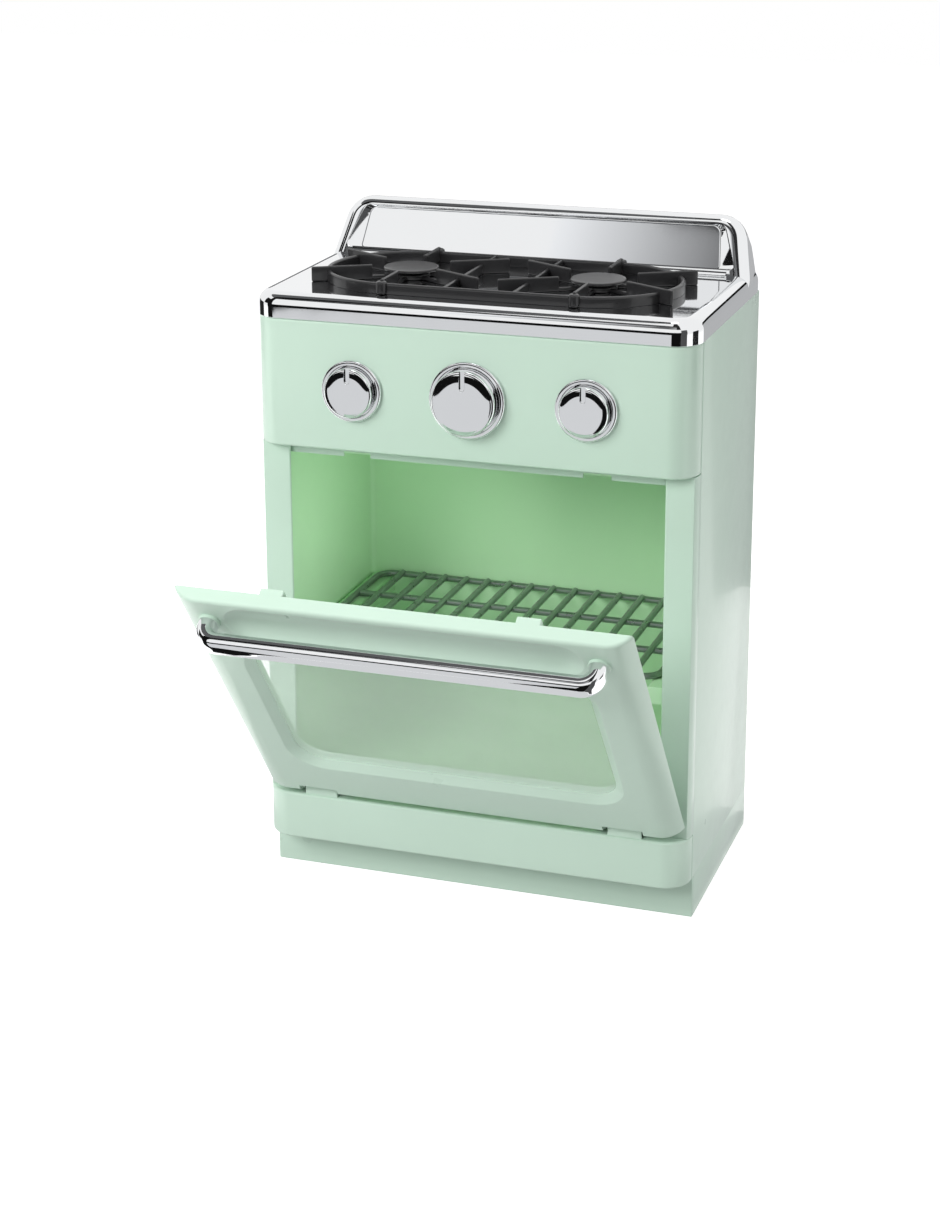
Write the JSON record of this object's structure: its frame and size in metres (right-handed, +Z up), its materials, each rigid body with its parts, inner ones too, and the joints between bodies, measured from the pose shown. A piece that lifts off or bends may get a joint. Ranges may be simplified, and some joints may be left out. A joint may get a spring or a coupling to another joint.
{
  "type": "toy oven",
  "caption": "Free-standing toy oven with a tilting windowed door, a sliding wire rack, a bright cooktop with a black burner grate and turning control knobs.",
  "frame": {"origin": "on the floor under the middle of the cabinet, in the underside of the base tray", "axes": "+X to the viewer's right along the front, +Y from the front to the back, +Z up"},
  "size_m": [0.261, 0.288, 0.3912],
  "materials": {
    "mint_plastic": "satin moulded",
    "cavity_plastic": "satin moulded",
    "bright_trim": "bright metallised",
    "black_plastic": "fine satin",
    "clear_pane": "clear, slightly milky",
    "rack_wire": "metallised dark grey",
    "steel": "plain zinc"
  },
  "bodies": {
    "cabinet": {"base_tray": "mint_plastic", "side_panel_left": "mint_plastic", "side_panel_right": "mint_plastic", "rear_panel": "mint_plastic", "lower_panel": "mint_plastic", "control_panel": "mint_plastic", "oven_liner": "cavity_plastic", "cooktop": "bright_trim", "grate": "black_plastic", "burner_cap_left": "black_plastic", "burner_cap_right": "black_plastic", "bezel_left": "bright_trim", "bezel_middle": "bright_trim", "bezel_right": "bright_trim", "hinge_pins": "steel", "rear_screws": "steel", "base_screws": "steel", "cooktop_screws": "steel"},
    "door": {"door_frame": "mint_plastic", "door_liner": "mint_plastic", "door_window": "clear_pane", "door_handle": "bright_trim", "door_screws": "steel", "handle_screws": "steel"},
    "rack": {"oven_rack": "rack_wire"},
    "knob_left": {"knob_left": "bright_trim", "knob_clip_left": "steel"},
    "knob_middle": {"knob_middle": "bright_trim", "knob_clip_middle": "steel"},
    "knob_right": {"knob_right": "bright_trim", "knob_clip_right": "steel"}
  },
  "joints": [
    {"name": "door_hinge", "type": "hinge", "parent": "cabinet", "child": "door", "pos_m": [0, -0.0708, 0.0582], "axis": [1, 0, 0], "range_deg": [-37.5, 17.5]},
    {"name": "rack_slide", "type": "slide", "parent": "cabinet", "child": "rack", "axis": [0, -1, 0], "range_m": [0, 0.07]},
    {"name": "knob_left_turn", "type": "hinge", "parent": "cabinet", "child": "knob_left", "pos_m": [-0.069, -0.079, 0.306], "axis": [0, 1, 0], "continuous": true},
    {"name": "knob_middle_turn", "type": "hinge", "parent": "cabinet", "child": "knob_middle", "pos_m": [0, -0.079, 0.306], "axis": [0, 1, 0], "continuous": true},
    {"name": "knob_right_turn", "type": "hinge", "parent": "cabinet", "child": "knob_right", "pos_m": [0.069, -0.079, 0.306], "axis": [0, 1, 0], "continuous": true}
  ]
}
